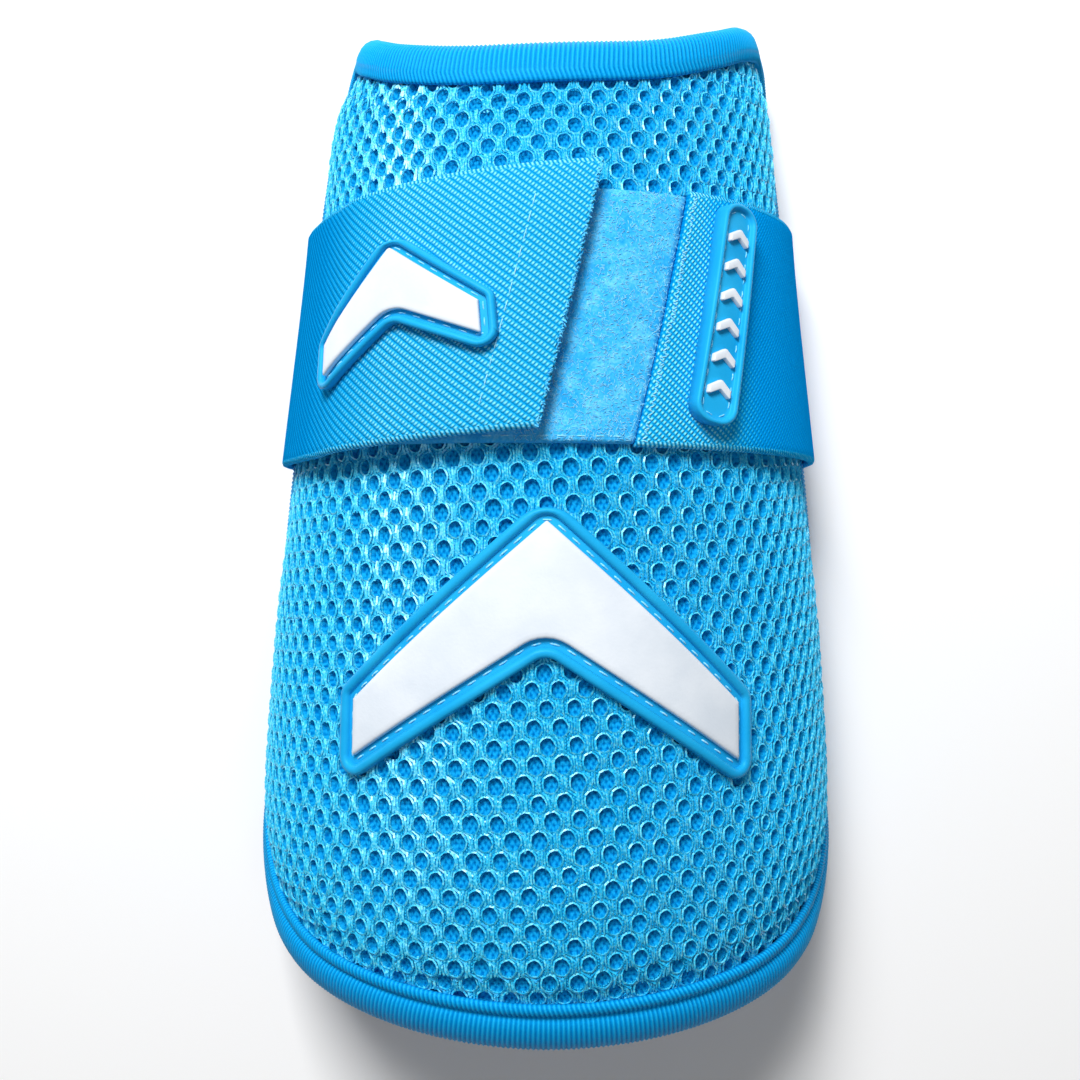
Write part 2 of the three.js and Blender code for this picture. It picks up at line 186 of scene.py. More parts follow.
def layer_rings(height_at):
    """Rings of one face of the foam, from the cut edge in to a narrow loop along the front centre."""
    points, inward, _ = edge_steps(pad_steps)
    lip_end = points + inward * tape_lip
    middle = points * (front_loop["width_share"], front_loop["length_share"])
    depth = np.linalg.norm(middle - lip_end, axis=1)
    rings = []
    for reach in np.linspace(0, tape_lip, lip_rings):
        p = points + inward * reach
        rings.append(on_sleeve(p[:, 0], p[:, 1], height_at(np.full(pad_steps, reach))))
    for share in np.linspace(0, 1, pad_levels)[1:]:
        p = lip_end + (middle - lip_end) * share
        rings.append(on_sleeve(p[:, 0], p[:, 1], height_at(tape_lip + share * depth)))
    return np.array(rings)


def band(low, high):
    """Four-sided faces between closed rings of point numbers and the next rings to them."""
    return np.stack([low, np.roll(low, -1, -1), np.roll(high, -1, -1), high], -1).reshape(-1, 4)


def skin(rings, round_trip=False):
    """Faces over rings of equal count, closed at both ends by strips, or joined end to end."""
    levels, count = rings.shape[:2]
    index = np.arange(levels * count).reshape(levels, count)
    low = index if round_trip else index[:-1]
    high = np.roll(index, -1, 0) if round_trip else index[1:]
    faces = band(low, high).tolist()
    if not round_trip:
        for i in range(count // 2 - 1):
            ends = [i, i + 1, count - 2 - i, count - 1 - i]
            faces.append(index[0][ends[::-1]].tolist())
            faces.append(index[-1][ends].tolist())
    return faces


def put_in_scene(name, data):
    thing = bpy.data.objects.new(name, data)
    bpy.context.scene.collection.objects.link(thing)
    return thing


def sewn_piece(name, points, faces, finish, sharp=None):
    """A new piece on the root body, facing outward and smooth but for bends past an angle in degrees."""
    mesh = bpy.data.meshes.new(name)
    points = np.asarray(points).reshape(-1, 3)
    mesh.from_pydata(points.tolist(), [], faces)
    mesh.materials.append(finish)
    mesh.calc_loop_triangles()
    corners = np.empty(len(mesh.loop_triangles) * 3, np.int32)
    mesh.loop_triangles.foreach_get("vertices", corners)
    a, b, c = points[corners].reshape(-1, 3, 3).transpose(1, 0, 2)
    if (a * np.cross(b, c)).sum() < 0:
        mesh.flip_normals()
    mesh.shade_smooth()
    if sharp is not None:
        mesh.set_sharp_from_angle(angle=math.radians(sharp))
    piece = put_in_scene(name, mesh)
    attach(piece, "root")
    return piece


def keep_on_points(piece, name, values):
    """Keeps a value for each point of a piece, such as its place on the flat cloth in millimetres."""
    values = np.asarray(values, np.float32)
    kind = "FLOAT_VECTOR" if values.ndim == 2 else "FLOAT"
    kept = piece.data.attributes.new(name, kind, "POINT")
    kept.data.foreach_set("vector" if values.ndim == 2 else "value", values.ravel())


def dyed(code):
    """A colour written as a web code, in the linear values that a shader takes."""
    channels = np.array([int(code[k:k + 2], 16) for k in (1, 3, 5)]) / 255
    linear = np.where(channels <= 0.04045, channels / 12.92, ((channels + 0.055) / 1.055) ** 2.4)
    return (*linear.tolist(), 1)


def finish_of(name, colour, roughness, sheen=0.0, gloss=0.12, shine="#7fdcff"):
    """A material with plain values on its shader, and the node tree to build its weave in."""
    material = bpy.data.materials.new(name)
    material.use_nodes = True
    shader = material.node_tree.nodes["Principled BSDF"]
    plain = {
        "Base Color": dyed(colour), "Roughness": roughness, "Sheen Weight": sheen, "Sheen Roughness": 0.5,
        "Sheen Tint": dyed(shine), "Specular IOR Level": gloss, "Specular Tint": dyed(shine),
    }
    for socket, value in plain.items():
        shader.inputs[socket].default_value = value
    return material, material.node_tree, shader


def wire(tree, kind, inputs, **settings):
    """A node with its settings, its inputs set or linked by name, and its first output given back."""
    node = tree.nodes.new(kind)
    for key, value in settings.items():
        setattr(node, key, value)
    for key, value in inputs.items():
        if isinstance(value, bpy.types.NodeSocket):
            tree.links.new(value, node.inputs[key])
        else:
            node.inputs[key].default_value = value
    return node.outputs[0]


def reckon(tree, operation, *values):
    return wire(tree, "ShaderNodeMath", dict(enumerate(values)), operation=operation)


def speckled(tree, scale, place=None, detail=2.0):
    """Uneven noise with about scale spots to a unit of a given place, or to a metre of the piece."""
    if place is None:
        place = tree.nodes.new("ShaderNodeTexCoord").outputs["Object"]
    return wire(tree, "ShaderNodeTexNoise", {"Vector": place, "Scale": scale, "Detail": detail})


def coloured(tree, shader, factor, stops):
    """Runs a shader's colour by a factor through (position, web code) stops."""
    node = tree.nodes.new("ShaderNodeValToRGB")
    ramp = node.color_ramp
    while len(ramp.elements) < len(stops):
        ramp.elements.new(0.5)
    for element, (position, code) in zip(ramp.elements, stops):
        element.position = position
        element.color = dyed(code)
    tree.links.new(factor, node.inputs["Fac"])
    tree.links.new(node.outputs["Color"], shader.inputs["Base Color"])


def raised(tree, shader, height, depth):
    """Raises a shader's surface by a height from 0 to 1, as deep as depth in metres."""
    bump = wire(tree, "ShaderNodeBump", {"Height": height, "Distance": depth, "Strength": 1.0})
    tree.links.new(bump, shader.inputs["Normal"])


def thread_grid(tree):
    """A piece's place on the flat cloth in millimetres, whole and as its two thread directions."""
    node = tree.nodes.new("ShaderNodeAttribute")
    node.attribute_name = "cloth"
    parts = tree.nodes.new("ShaderNodeSeparateXYZ")
    tree.links.new(node.outputs["Vector"], parts.inputs[0])
    return node.outputs["Vector"], parts.outputs[0], parts.outputs[1]


def weighed(tree, a, a_share, b, b_share):
    return reckon(tree, "MULTIPLY_ADD", a, a_share, reckon(tree, "MULTIPLY", b, b_share))


def hump(tree, x):
    """A rounded hump over each whole step of x."""
    return reckon(tree, "SINE", reckon(tree, "MULTIPLY", reckon(tree, "FRACT", x), math.pi))


def beaded(tree, u, v, rib, bead, lean, share=0.6, stagger=0.5):
    """Rows of yarn a rib apart, turned by lean, broken into beads by a share of their height."""
    c, s = math.cos(lean), math.sin(lean)
    across = weighed(tree, u, -s / rib, v, c / rib)
    along = weighed(tree, u, c / bead, v, s / bead)
    shifted = reckon(tree, "MULTIPLY_ADD", reckon(tree, "FLOOR", across), stagger, along)
    drop = reckon(tree, "MULTIPLY_ADD", hump(tree, shifted), share, 1 - share)
    return reckon(tree, "MULTIPLY", hump(tree, across), drop)


pad_rings = np.concatenate([layer_rings(foam_bottom)[::-1], layer_rings(foam_top)])

lining, tree, shader = finish_of("lining_jersey", "#0d7cc6", roughness=0.9, gloss=0.05)
cloth, u, v = thread_grid(tree)
stitch_rows = beaded(tree, u, v, rib=0.9, bead=0.7, lean=0.0)
worn = speckled(tree, 0.12, cloth, detail=4.0)
tint = weighed(tree, worn, 0.6, stitch_rows, 0.4)
coloured(tree, shader, tint, [(0.2, "#0063ad"), (0.75, "#0f8ad6")])
raised(tree, shader, stitch_rows, 0.00015)

padded_sleeve = sewn_piece("padded_sleeve", pad_rings, skin(pad_rings), lining)
mean_radius_mm = 60
round_it = np.arctan2(pad_rings[..., 0], pad_rings[..., 2]) * mean_radius_mm
flat = np.stack([round_it, pad_rings[..., 1] * 1000], -1)
keep_on_points(padded_sleeve, "cloth", np.dstack([flat, flat[..., :1] * 0]).reshape(-1, 3))
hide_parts("foam_pad")

# Air mesh. The outer skin is a thick spacer knit: a lace of fine shiny yarn, full of oval holes in
# staggered rows, over a plain backing that shows through them, its blue kept darker as painted shade down
# the shallow holes. It is stretched over the foam and pressed flat where the binding is sewn on.

hole = {"pitch": 0.0050, "row": 0.00336, "width": 0.00286, "height": 0.00330, "depth": 0.0010}
uneven_by = {"place": 0.00011, "size": 0.05}
hole_margin, uphill = 0.0050, 0.07
hole_seed = np.random.default_rng(11)


def on_cloth(across, along):
    """Places in the knit's own rows, which run a little uphill to the right, as places on the sleeve."""
    c, s = math.cos(uphill), math.sin(uphill)
    return across * c - along * s, across * s + along * c


def reach_of(points):
    """How far points lie inside the cut edge."""
    edge_points, batch = 900, 4000
    at, inward, _ = edge_steps(edge_points)
    reach = np.empty(len(points))
    for k in range(0, len(points), batch):
        part = points[k:k + batch]
        gap = part[:, None, :] - at[None]
        near = np.argmin((gap**2).sum(-1), axis=1)
        rows = np.arange(len(part))
        side = np.sign((gap[rows, near] * inward[near]).sum(-1))
        reach[k:k + batch] = side * np.linalg.norm(gap[rows, near], axis=1)
    return reach


# More rows and columns of holes than the sleeve takes, and then those that lie inside its edge.
rows, columns = np.mgrid[-35:36, -25:26]
centres = np.stack([(columns + 0.5 * (rows % 2)) * hole["pitch"], rows * hole["row"]], -1).reshape(-1, 2)
centres = centres[reach_of(np.stack(on_cloth(*centres.T), -1)) > hole_margin]

# A cell round each hole has six sides with their middles. Its rings run in from them over a shoulder to
# the hole's mouth, and down to its foot and the middle of its floor.
half = hole["pitch"] / 2
shoulder = (half**2 + hole["row"] ** 2 - 2 * half**2) / (2 * hole["row"])
peak = (half**2 + hole["row"] ** 2) / (2 * hole["row"])
quarter_cell = [(half, 0), (half, shoulder), (half / 2, (shoulder + peak) / 2), (0, peak)]
top_half = quarter_cell + [(-x, y) for x, y in quarter_cell[2::-1]]
cell = np.array(top_half + [(x, -y) for x, y in top_half[-2:0:-1]])
count = len(cell)
around = np.arctan2(cell[:, 1], cell[:, 0])
oval = np.stack([np.cos(around) * hole["width"] / 2, np.sin(around) * hole["height"] / 2], -1)

jitter = hole_seed.normal(0, uneven_by["place"], (len(centres), 1, 2))
stretch = hole_seed.normal(1, uneven_by["size"], (len(centres), 1, 1))
mouth = jitter + oval * stretch
pad, knot, bar = 0.00012, 0.0, -0.00030
lip_drop, floor_bulge = 0.00025, 0.0001
side_lift = np.array([pad, knot, bar, knot, bar, knot] * 2)
levels = [
    (np.broadcast_to(cell, mouth.shape), side_lift),
    (0.45 * cell + 0.62 * mouth, 0.5 * side_lift),
    (mouth, np.full(count, -lip_drop)),
    (mouth * 0.90, np.full(count, -hole["depth"])),
    (0 * mouth, np.full(count, floor_bulge - hole["depth"])),
]
flat = np.stack([centres[:, None] + ring for ring, _ in levels], 1).reshape(-1, 2)
depth = np.stack([np.broadcast_to(h, mouth.shape[:2]) for _, h in levels], 1).reshape(-1)
ring_index = np.arange(len(depth)).reshape(len(centres), len(levels), count)
walls = [band(ring_index[:, k], ring_index[:, k + 1]) for k in range(3)]
foot, middle = ring_index[:, 3], ring_index[:, 4, :1].repeat(count, 1)
floors = np.stack([foot, np.roll(foot, -1, 1), middle], -1).reshape(-1, 3)
microns = np.round(np.column_stack([flat, depth]) * 1e6).astype(int)
_, first, merged = np.unique(microns, axis=0, return_index=True, return_inverse=True)
merged = merged.reshape(-1)
flat, depth = flat[first], depth[first]
placed = np.stack(on_cloth(*flat.T), -1)
reach = reach_of(placed)
mesh_points = on_sleeve(placed[:, 0], placed[:, 1], depth + mesh_top(np.maximum(reach, 0)))
mesh_faces = [face for part in walls for face in merged[part].tolist()]
mesh_faces += merged[floors].tolist()

ground, tree, shader = finish_of("mesh_ground", "#08a6e2", roughness=0.6, gloss=0.03)
cloth, u, v = thread_grid(tree)
loops = beaded(tree, u, v, rib=0.45, bead=0.6, lean=math.pi / 2, share=0.7)
uneven = speckled(tree, 1.3, cloth, detail=3.0)
tint = weighed(tree, loops, 0.5, uneven, 0.5)
coloured(tree, shader, tint, [(0.2, "#007ec6"), (0.5, "#08a6e2"), (0.75, "#3cc4f0")])
raised(tree, shader, loops, 0.0002)

# The backing colours the holes' floors and lower walls. Its blue is partly its own colour and partly
# painted shade: it is darker to stand for the shade that holes this shallow don't cast.
backing_with_painted_shade, tree, shader = finish_of("mesh_backing_painted_shade", "#0888cc", roughness=0.8, gloss=0.05)
cloth, u, v = thread_grid(tree)
both_ways = [beaded(tree, u, v, rib=0.95, bead=1.1, lean=lean, share=0.4) for lean in (1.0, -1.0)]
crossed = reckon(tree, "MAXIMUM", *both_ways)
drawn = wire(tree, "ShaderNodeMapping", {"Vector": cloth, "Scale": (5.0, 1.2, 1.0)})
fibres = speckled(tree, 1.0, drawn, detail=3.0)
threads = weighed(tree, crossed, 0.6, fibres, 0.5)
coloured(tree, shader, threads, [(0.35, "#0062aa"), (0.6, "#0082c6"), (0.85, "#14a2de")])
raised(tree, shader, threads, 0.0003)

air_mesh = sewn_piece("air_mesh", mesh_points, mesh_faces, ground)
air_mesh.data.materials.append(backing_with_painted_shade)
in_the_holes = np.arange(len(mesh_faces)) >= 2 * len(walls[0])
air_mesh.data.polygons.foreach_set("material_index", in_the_holes.astype(np.int32))
keep_on_points(air_mesh, "cloth", np.column_stack([flat * 1000, depth * 1000]))
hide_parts("mesh_cover")

# The knit's yarn stands on the lace: three upright threads between neighbours in a row, one along each
# slanted bar, and a loop round every hole.


def strands(centres, normals, radius, sides):
    """Thin threads along rows of points, as one list of points and faces."""
    count, steps = centres.shape[:2]
    along = unit(np.gradient(centres, axis=1))
    side = unit(np.cross(along, normals[:, None, :]))
    up = np.cross(side, along)
    turn = np.arange(sides) / sides * 2 * math.pi
    spoke = side[:, :, None] * np.cos(turn)[:, None] + up[:, :, None] * np.sin(turn)[:, None]
    points = centres[:, :, None] + spoke * np.broadcast_to(radius, (count, steps))[..., None, None]
    index = np.arange(count * steps * sides).reshape(count, steps, sides)
    low, high = index[:, :-1], index[:, 1:]
    faces = band(low, high).tolist() + index[:, 0, ::-1].tolist() + index[:, -1].tolist()
    return points.reshape(-1, 3), faces


def away_from(lay, across, along):
    """The direction square out of a surface at places on it."""
    probe = 0.001
    return (lay(across, along, probe) - lay(across, along, 0.0)) / probe


def flecked(name, colour, scale, stops, depth, detail=2.0, **plain):
    """A finish whose colour and grain both follow one uneven noise."""
    material, tree, shader = finish_of(name, colour, **plain)
    flecks = speckled(tree, scale, detail=detail)
    coloured(tree, shader, flecks, stops)
    raised(tree, shader, flecks, depth)
    return material


def yarn_with_painted_glints(name, colours):
    """A shiny yarn finish with a lighter and darker fleck; the lighter flecks are painted glints."""
    stops = list(zip((0.36, 0.5, 0.66), colours))
    return flecked(name, colours[1], 1900.0, stops, 0.00003, roughness=0.34, gloss=0.95, shine="#dcf8ff")


# The uprights and hole loops take a paler copy of the yarn, painted lighter as their glints; the slanted
# bars keep the blue copy. In both copies the lightest flecks are painted glints.
glint_painted_yarn = yarn_with_painted_glints("mesh_yarn_painted_glints", ("#0cb2ea", "#30ccf6", "#78e6fd"))
blue_yarn = yarn_with_painted_glints("blue_mesh_yarn", ("#009cdc", "#0cb2ea", "#30cef6"))


def knit(name, across, along, lift, thick, yarn):
    """One set of the knit's yarn, with rows of points by their place on the cloth and lift over it."""
    across, along = on_cloth(across, along)
    middle = across.shape[1] // 2
    reach = reach_of(np.stack([across[:, middle], along[:, middle]], -1))
    base = mesh_top(np.maximum(reach, 0))[:, None]
    lie = on_sleeve(across, along, base + lift)
    away = away_from(on_sleeve, across[:, middle], along[:, middle])
    piece = sewn_piece(name, *strands(lie, away, thick, sides=3), yarn, sharp=0)


def wander(rows, size):
    return hole_seed.normal(0, size, (rows, 1))


upright = {"radius": 0.00021, "half_length": 0.00160, "lane": 0.00042, "flare": 0.00024, "margin": 0.0056}
arched = {"middle": 0.00022, "wave": 0.00010, "dip": 0.00024}
stray = {"aside": 0.00010, "lean": 0.00012, "along": 0.00020}
t = np.linspace(-1, 1, 5)[None]
pads = centres + (half, 0)
pads = pads[reach_of(np.stack(on_cloth(*pads.T), -1)) > upright["margin"]]
place, lane = np.repeat(pads, 3, 0), np.tile([-1, 0, 1], len(pads))[:, None]
count = len(place)
across = place[:, :1] + lane * (upright["lane"] + upright["flare"] * t**2)
across = across + wander(count, stray["aside"]) + wander(count, stray["lean"]) * t
along = place[:, 1:] + upright["half_length"] * t + wander(count, stray["along"])
lift = arched["middle"] + arched["wave"] * np.cos(4.2 * t + 1.6 * lane) - arched["dip"] * t**2
knit("mesh_upright_yarn", across, along, lift, upright["radius"], glint_painted_yarn)

slanted = {"radius": 0.00024, "lift": -0.00008, "sag": 0.0006, "stray": 0.00006}
t = np.linspace(-0.1, 1.1, 4)[None]
place, lane = np.repeat(centres, 2, 0), np.tile([-1, 1], len(centres))[:, None]
count = len(place)
across = place[:, :1] + lane * half * (1 - t) + wander(count, slanted["stray"])
along = place[:, 1:] + shoulder + (peak - shoulder) * t + wander(count, slanted["stray"])
lift = slanted["lift"] - slanted["sag"] * t * (1 - t)
knit("mesh_slanted_yarn", across, along, lift, slanted["radius"], blue_yarn)

rim = {"radius": 0.00020, "spread": 0.54, "ripple": 0.02, "lift": 0.00003, "wave": 0.00008}
turn = np.linspace(0, 2 * math.pi, 13)[None] + hole_seed.uniform(0, 2 * math.pi, (len(centres), 1))
spread = stretch[:, :, 0] * (rim["spread"] + rim["ripple"] * np.cos(5 * turn))
across = centres[:, :1] + jitter[:, :, 0] + np.cos(turn) * spread * hole["width"]
along = centres[:, 1:] + jitter[:, :, 1] + np.sin(turn) * spread * hole["height"]
lift = rim["lift"] + rim["wave"] * np.cos(2 * turn)
knit("mesh_rim_yarn", across, along, lift, rim["radius"], glint_painted_yarn)

# Edge binding. Ribbed tape is folded over the whole edge and sewn through: a fat roll outside, a sunk
# seam, and a narrow ribbed lip that lies on the mesh, turned under at the narrow end. Its cords run
# across the tape, just under a millimetre apart.

# The tape's section in millimetres: reach in from the cut edge, height over the sleeve, and share of the
# ribs' depth. At the narrow end no seam shows, so its first points have other heights there.
tape_section = np.array([
    (9.0, -0.9, 0.0), (9.15, -0.2, 0.4), (8.9, 0.25, 1.0), (8.3, 0.45, 1.0), (7.6, 0.45, 1.0),
    (7.0, 0.15, 1.0), (6.7, -0.45, 0.4), (6.35, -0.45, 0.4), (6.0, 0.10, 1.0), (5.4, 0.70, 1.0),
    (4.3, 1.10, 1.0), (2.8, 1.25, 1.0), (1.3, 1.15, 1.0), (-0.1, 0.70, 1.0), (-1.2, -0.15, 1.0),
    (-1.85, -1.5, 1.0), (-2.0, -3.2, 1.0), (-1.7, -5.0, 1.0), (-0.9, -6.4, 1.0), (0.6, -7.2, 1.0),
    (3.0, -7.4, 1.0), (6.0, -7.3, 1.0), (8.6, -7.1, 0.8), (9.05, -6.6, 0.4), (9.0, -5.95, 0.0),
    (-0.3, -5.95, 0.0), (-0.3, -0.9, 0.0),
]) * (0.001, 0.001, 1)
flat_lip = np.array([-0.9, -0.35, 0.05, 0.30, 0.50, 0.65, 0.72, 0.80, 0.88, 0.98]) * 0.001
lip_rows = len(flat_lip)
narrow = {"starts": 0.084, "ends": 0.092, "share": 0.80}
lip_slant = {"starts": 0.0068, "ends": 0.0092, "ribs": 0.9}
# The last number sets how strongly painted light on the rib crests and painted shade in the hollows show in
# the tape's colour.
rib_count, steps_a_rib, rib_depth, rib_sink, painted_rib_light_share = 760, 4, 0.00030, 0.6, 0.8
points, inward, edge_length = edge_steps(rib_count * steps_a_rib)
step = np.arange(len(points))
section_reach, section_height, rib_share = tape_section.T
slant = np.interp(section_reach, [lip_slant["starts"], lip_slant["ends"]], [0, lip_slant["ribs"]])
rib = 0.5 + 0.5 * np.cos(2 * math.pi * (step[:, None] / steps_a_rib + slant[None]))
onward = np.roll(tape_section[:, :2], -1, 0) - np.roll(tape_section[:, :2], 1, 0)
outward = unit(np.stack([-onward[:, 1], onward[:, 0]], -1))
rise = (rib - rib_sink) * rib_depth * rib_share
pulled_in = np.interp(points[:, 1], [narrow["starts"], narrow["ends"]], [0, 1])[:, None]
level = np.repeat(section_height[None], len(points), 0)
level[:, :lip_rows] += pulled_in * (flat_lip - level[:, :lip_rows])
reach = np.maximum(section_reach, 0) * (1 - (1 - narrow["share"]) * pulled_in)
reach = reach + np.minimum(section_reach, 0) - rise * outward[:, 0]
height = level - rise * outward[:, 1]
place = points[:, None, :] + inward[:, None, :] * reach[..., None]
tape_rings = on_sleeve(place[..., 0], place[..., 1], height)

tape, tree, shader = finish_of("ribbed_tape", "#009ce2", roughness=0.5)
# The tape's colour follows its ribs: lighter on each crest and darker in each hollow. This is painted light
# and shade over ribs that the geometry already has.
painted_rib_light = tree.nodes.new("ShaderNodeAttribute")
painted_rib_light.attribute_name = "painted_rib_light"
fluff = speckled(tree, 2600.0, detail=3.0)
tint = reckon(tree, "MULTIPLY_ADD", fluff, 0.35, painted_rib_light.outputs["Fac"])
coloured(tree, shader, tint, [(0.15, "#0078c4"), (0.6, "#009ce2"), (1.0, "#20b6f0")])
raised(tree, shader, fluff, 0.00008)

bound_edge = sewn_piece("bound_edge", tape_rings, skin(tape_rings, round_trip=True), tape)
keep_on_points(bound_edge, "painted_rib_light", rib.reshape(-1) * painted_rib_light_share)
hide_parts("edge_binding")

# Loop patch. A piece of napped loop tape is sewn to the front of the mesh for the strap to close on.
# Its pile is a pale fuzz of fine bent fibres, brushed in patches.

# The strap's route by turns from the front centre: where its centre line is and how far it stands off.
strap = {"width": 0.0508, "thickness": 0.0020, "corner": 0.0040}
route = {
    "turn": [0.04, 0.13, 0.24, 0.5, 0.78, 0.835, 0.87, 1.03],
    "centre": [0.0364, 0.0362, 0.0358, 0.0348, 0.0342, 0.0346, 0.0356, 0.0404],
    "stand_off": [0.0003, 0.0010, 0.0012, 0.0011, 0.0012, 0.0027, 0.0044, 0.0044],
}
sewn_end = {"turn": 0.076, "slant": 0.27}
free_end = {"turn": 1.014, "slant": 0.22}


def strap_loop(along, stand_off):
    """The strap's loop at a station: its arch, its drop at the sides, and half of its whole length."""
    radius, spring, rise = arch(along)
    outer = radius + stand_off
    drop = spring - strap["thickness"] - strap["corner"]
    half = outer * math.pi / 2 + drop + strap["corner"] * math.pi / 2 + outer - strap["corner"]
    return outer, spring, rise + stand_off, drop, half


loop_length = 2 * float(strap_loop(route["centre"][0], route["stand_off"][0])[-1])


def sewn_turn(offset):
    return sewn_end["turn"] + offset * sewn_end["slant"] / loop_length


def free_turn(offset):
    return free_end["turn"] + offset * free_end["slant"] / loop_length


def strip_rings(place, shares, section):
    """Cross sections of a strip: place(share, offset, height) along its shares, round its section."""
    return np.array([place(share, section[:, 0], section[:, 1]) for share in shares])


def strip_section(width, low, high, steps, edge):
    """The outline of a strip across its width, with rounded edges, from the lower face to the upper."""
    across = np.linspace(-width / 2 + edge, width / 2 - edge, steps)
    rim = [(-width / 2 + edge * 0.3, 0.15), (-width / 2, 0.5), (-width / 2 + edge * 0.3, 0.85)]
    lower = [(a, 0.0) for a in across]
    upper = [(a, 1.0) for a in across[::-1]]
    right = [(-a, h) for a, h in rim]
    left = [(a, h) for a, h in rim[::-1]]
    outline = np.array([left[2], *lower, *right, *upper, *left[:2]])
    return np.column_stack([outline[:, 0], low + (high - low) * outline[:, 1]])


patch = {"left": -0.0475, "height": 0.0488, "centre": 0.0358, "bottom": 0.0001, "top": 0.0019}
patch_gap = 0.0003


def patch_right(offset):
    """Where the patch ends, a small gap short of the strap's sewn end."""
    along = patch["centre"] + offset
    turn = sewn_turn(offset)
    outer, *_, half = strap_loop(along, eased(route["turn"], route["stand_off"], turn))
    return 2 * half * turn * arch(along)[0] / outer - patch_gap


def patch_place(share, offset, height):
    right = patch_right(offset)
    return on_sleeve(patch["left"] + (right - patch["left"]) * share, patch["centre"] + offset, height)


patch_section = strip_section(patch["height"], patch["bottom"], patch["top"], steps=24, edge=0.0008)
patch_rings = strip_rings(patch_place, np.linspace(0, 1, 60), patch_section)

pile, tree, shader = finish_of("loop_pile", "#44b4ee", roughness=0.95, sheen=0.15)
brushed = speckled(tree, 260.0, detail=4.0)
grain = speckled(tree, 1900.0, detail=3.0)
tint = weighed(tree, grain, 0.5, brushed, 0.6)
coloured(tree, shader, tint, [(0.36, "#1c9ee8"), (0.55, "#3cb4f0"), (0.74, "#70cff8")])
raised(tree, shader, grain, 0.00012)

loop_landing = sewn_piece("loop_landing", patch_rings, skin(patch_rings), pile)
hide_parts("loop_patch")

# Fibres stand on the part of the patch that shows, and a little way under the strap's free end.
fibre_seed = np.random.default_rng(5)
fibre_count, fibre_radius, fibre_sink, fuzz_left, fuzz_inset = 4200, 0.00007, 0.00008, -0.006, 0.0008
offset = fibre_seed.uniform(-0.5, 0.5, fibre_count) * (patch["height"] - fuzz_inset)
right = patch_right(offset)
across = fibre_seed.uniform(-1, 0, fibre_count) * (right - fuzz_left) + right
heading = fibre_seed.uniform(0, 2 * math.pi, fibre_count)
length = fibre_seed.uniform(0.0005, 0.0011, fibre_count)
lift = fibre_seed.uniform(0.00008, 0.00022, fibre_count)
t = np.linspace(0, 1, 5)[None]
bend = length[:, None] * (t - 0.5)
fibres = on_sleeve(
    across[:, None] + np.cos(heading)[:, None] * bend,
    patch["centre"] + offset[:, None] + np.sin(heading)[:, None] * bend,
    patch["top"] - fibre_sink + lift[:, None] * np.sin(math.pi * t),
)
away = away_from(on_sleeve, across, patch["centre"] + offset)
fibre_points, fibre_faces = strands(fibres, away, fibre_radius, sides=3)
pale_mix = [(0.35, "#64c4f2"), (0.65, "#98def9")]
fuzz = flecked("pile_fibre", "#7cccf5", 700.0, pale_mix, 0.00002, roughness=0.9, sheen=0.2)
loop_fuzz = sewn_piece("loop_fuzz", fibre_points, fibre_faces, fuzz)

# Hook patch. Under the strap's free end is a plain tab of hook tape that grips the loop patch. Almost
# nothing of it shows, so it is only a flat tab with a rounded edge and a rough face.


def strap_place(turn, offset, height):
    """Points over the strap's inner face, at a share of the way round and a distance across it."""
    turn, offset, height = np.broadcast_arrays(turn, offset, height)
    along = eased(route["turn"], route["centre"], turn) + offset
    outer, spring, rise, drop, half = strap_loop(along, eased(route["turn"], route["stand_off"], turn))
    corner, floor = strap["corner"], strap["thickness"]
    share = turn - np.floor(turn)
    way = 2 * half * np.minimum(share, 1 - share)
    over = way - outer * math.pi / 2
    past = over - drop
    on_arch, on_drop, on_corner = over < 0, past < 0, past < corner * math.pi / 2
    bend = math.pi / 2 + past / corner
    bend_x, bend_z = outer - corner + corner * np.sin(bend), floor + corner + corner * np.cos(bend)
    stages = [on_arch, on_drop, on_corner]
    angle = np.select(stages, [way / outer, np.full(way.shape, math.pi / 2), bend], math.pi)
    x = np.select(stages, [outer * np.sin(angle), outer, bend_x], half - way)
    z = np.select(stages, [spring + rise * np.cos(angle), spring - over, bend_z], floor)
    side = np.where(share < 0.5, 1, -1)
    x = side * (x + height * np.sin(angle))
    return np.stack([x, along - middle_along, z + height * np.cos(angle)], -1)


hook = {"length": 0.036, "margin": 0.005, "height": 0.044, "bottom": -0.0018, "top": -0.0001}


def hook_place(share, offset, height):
    end = free_turn(offset) - hook["margin"] / loop_length
    return strap_place(end - hook["length"] / loop_length * (1 - share), offset, height)


hook_section = strip_section(hook["height"], hook["bottom"], hook["top"], steps=12, edge=0.0006)
hook_rings = strip_rings(hook_place, np.linspace(0, 1, 24), hook_section)

deep_mix = [(0.35, "#0b6ab4"), (0.65, "#2c9ae2")]
hooks = flecked("hook_tape", "#1584d0", 1100.0, deep_mix, 0.0003, detail=1.0, roughness=0.6, gloss=0.3)

hook_tab = sewn_piece("hook_tab", hook_rings, skin(hook_rings), hooks)
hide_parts("hook_patch")

# Strap. One length of 2 inch woven elastic is sewn on at the right, runs round the back and comes over
# the front from the left. It is a slanted twill of beads, their crests painted pale as highlights and the
# gaps painted as shade; round the sides the weave is drawn smoother and its colour painted darker as
# shade. Its raw free end frays into short tufts.

fray_seed = np.random.default_rng(3)
ragged_by = 0.00035
strap_shares = np.linspace(0, 1, 331)
strap_section = strip_section(strap["width"], 0.0, strap["thickness"], steps=33, edge=0.0009)
ragged = fray_seed.uniform(-ragged_by, ragged_by, len(strap_section)) / loop_length


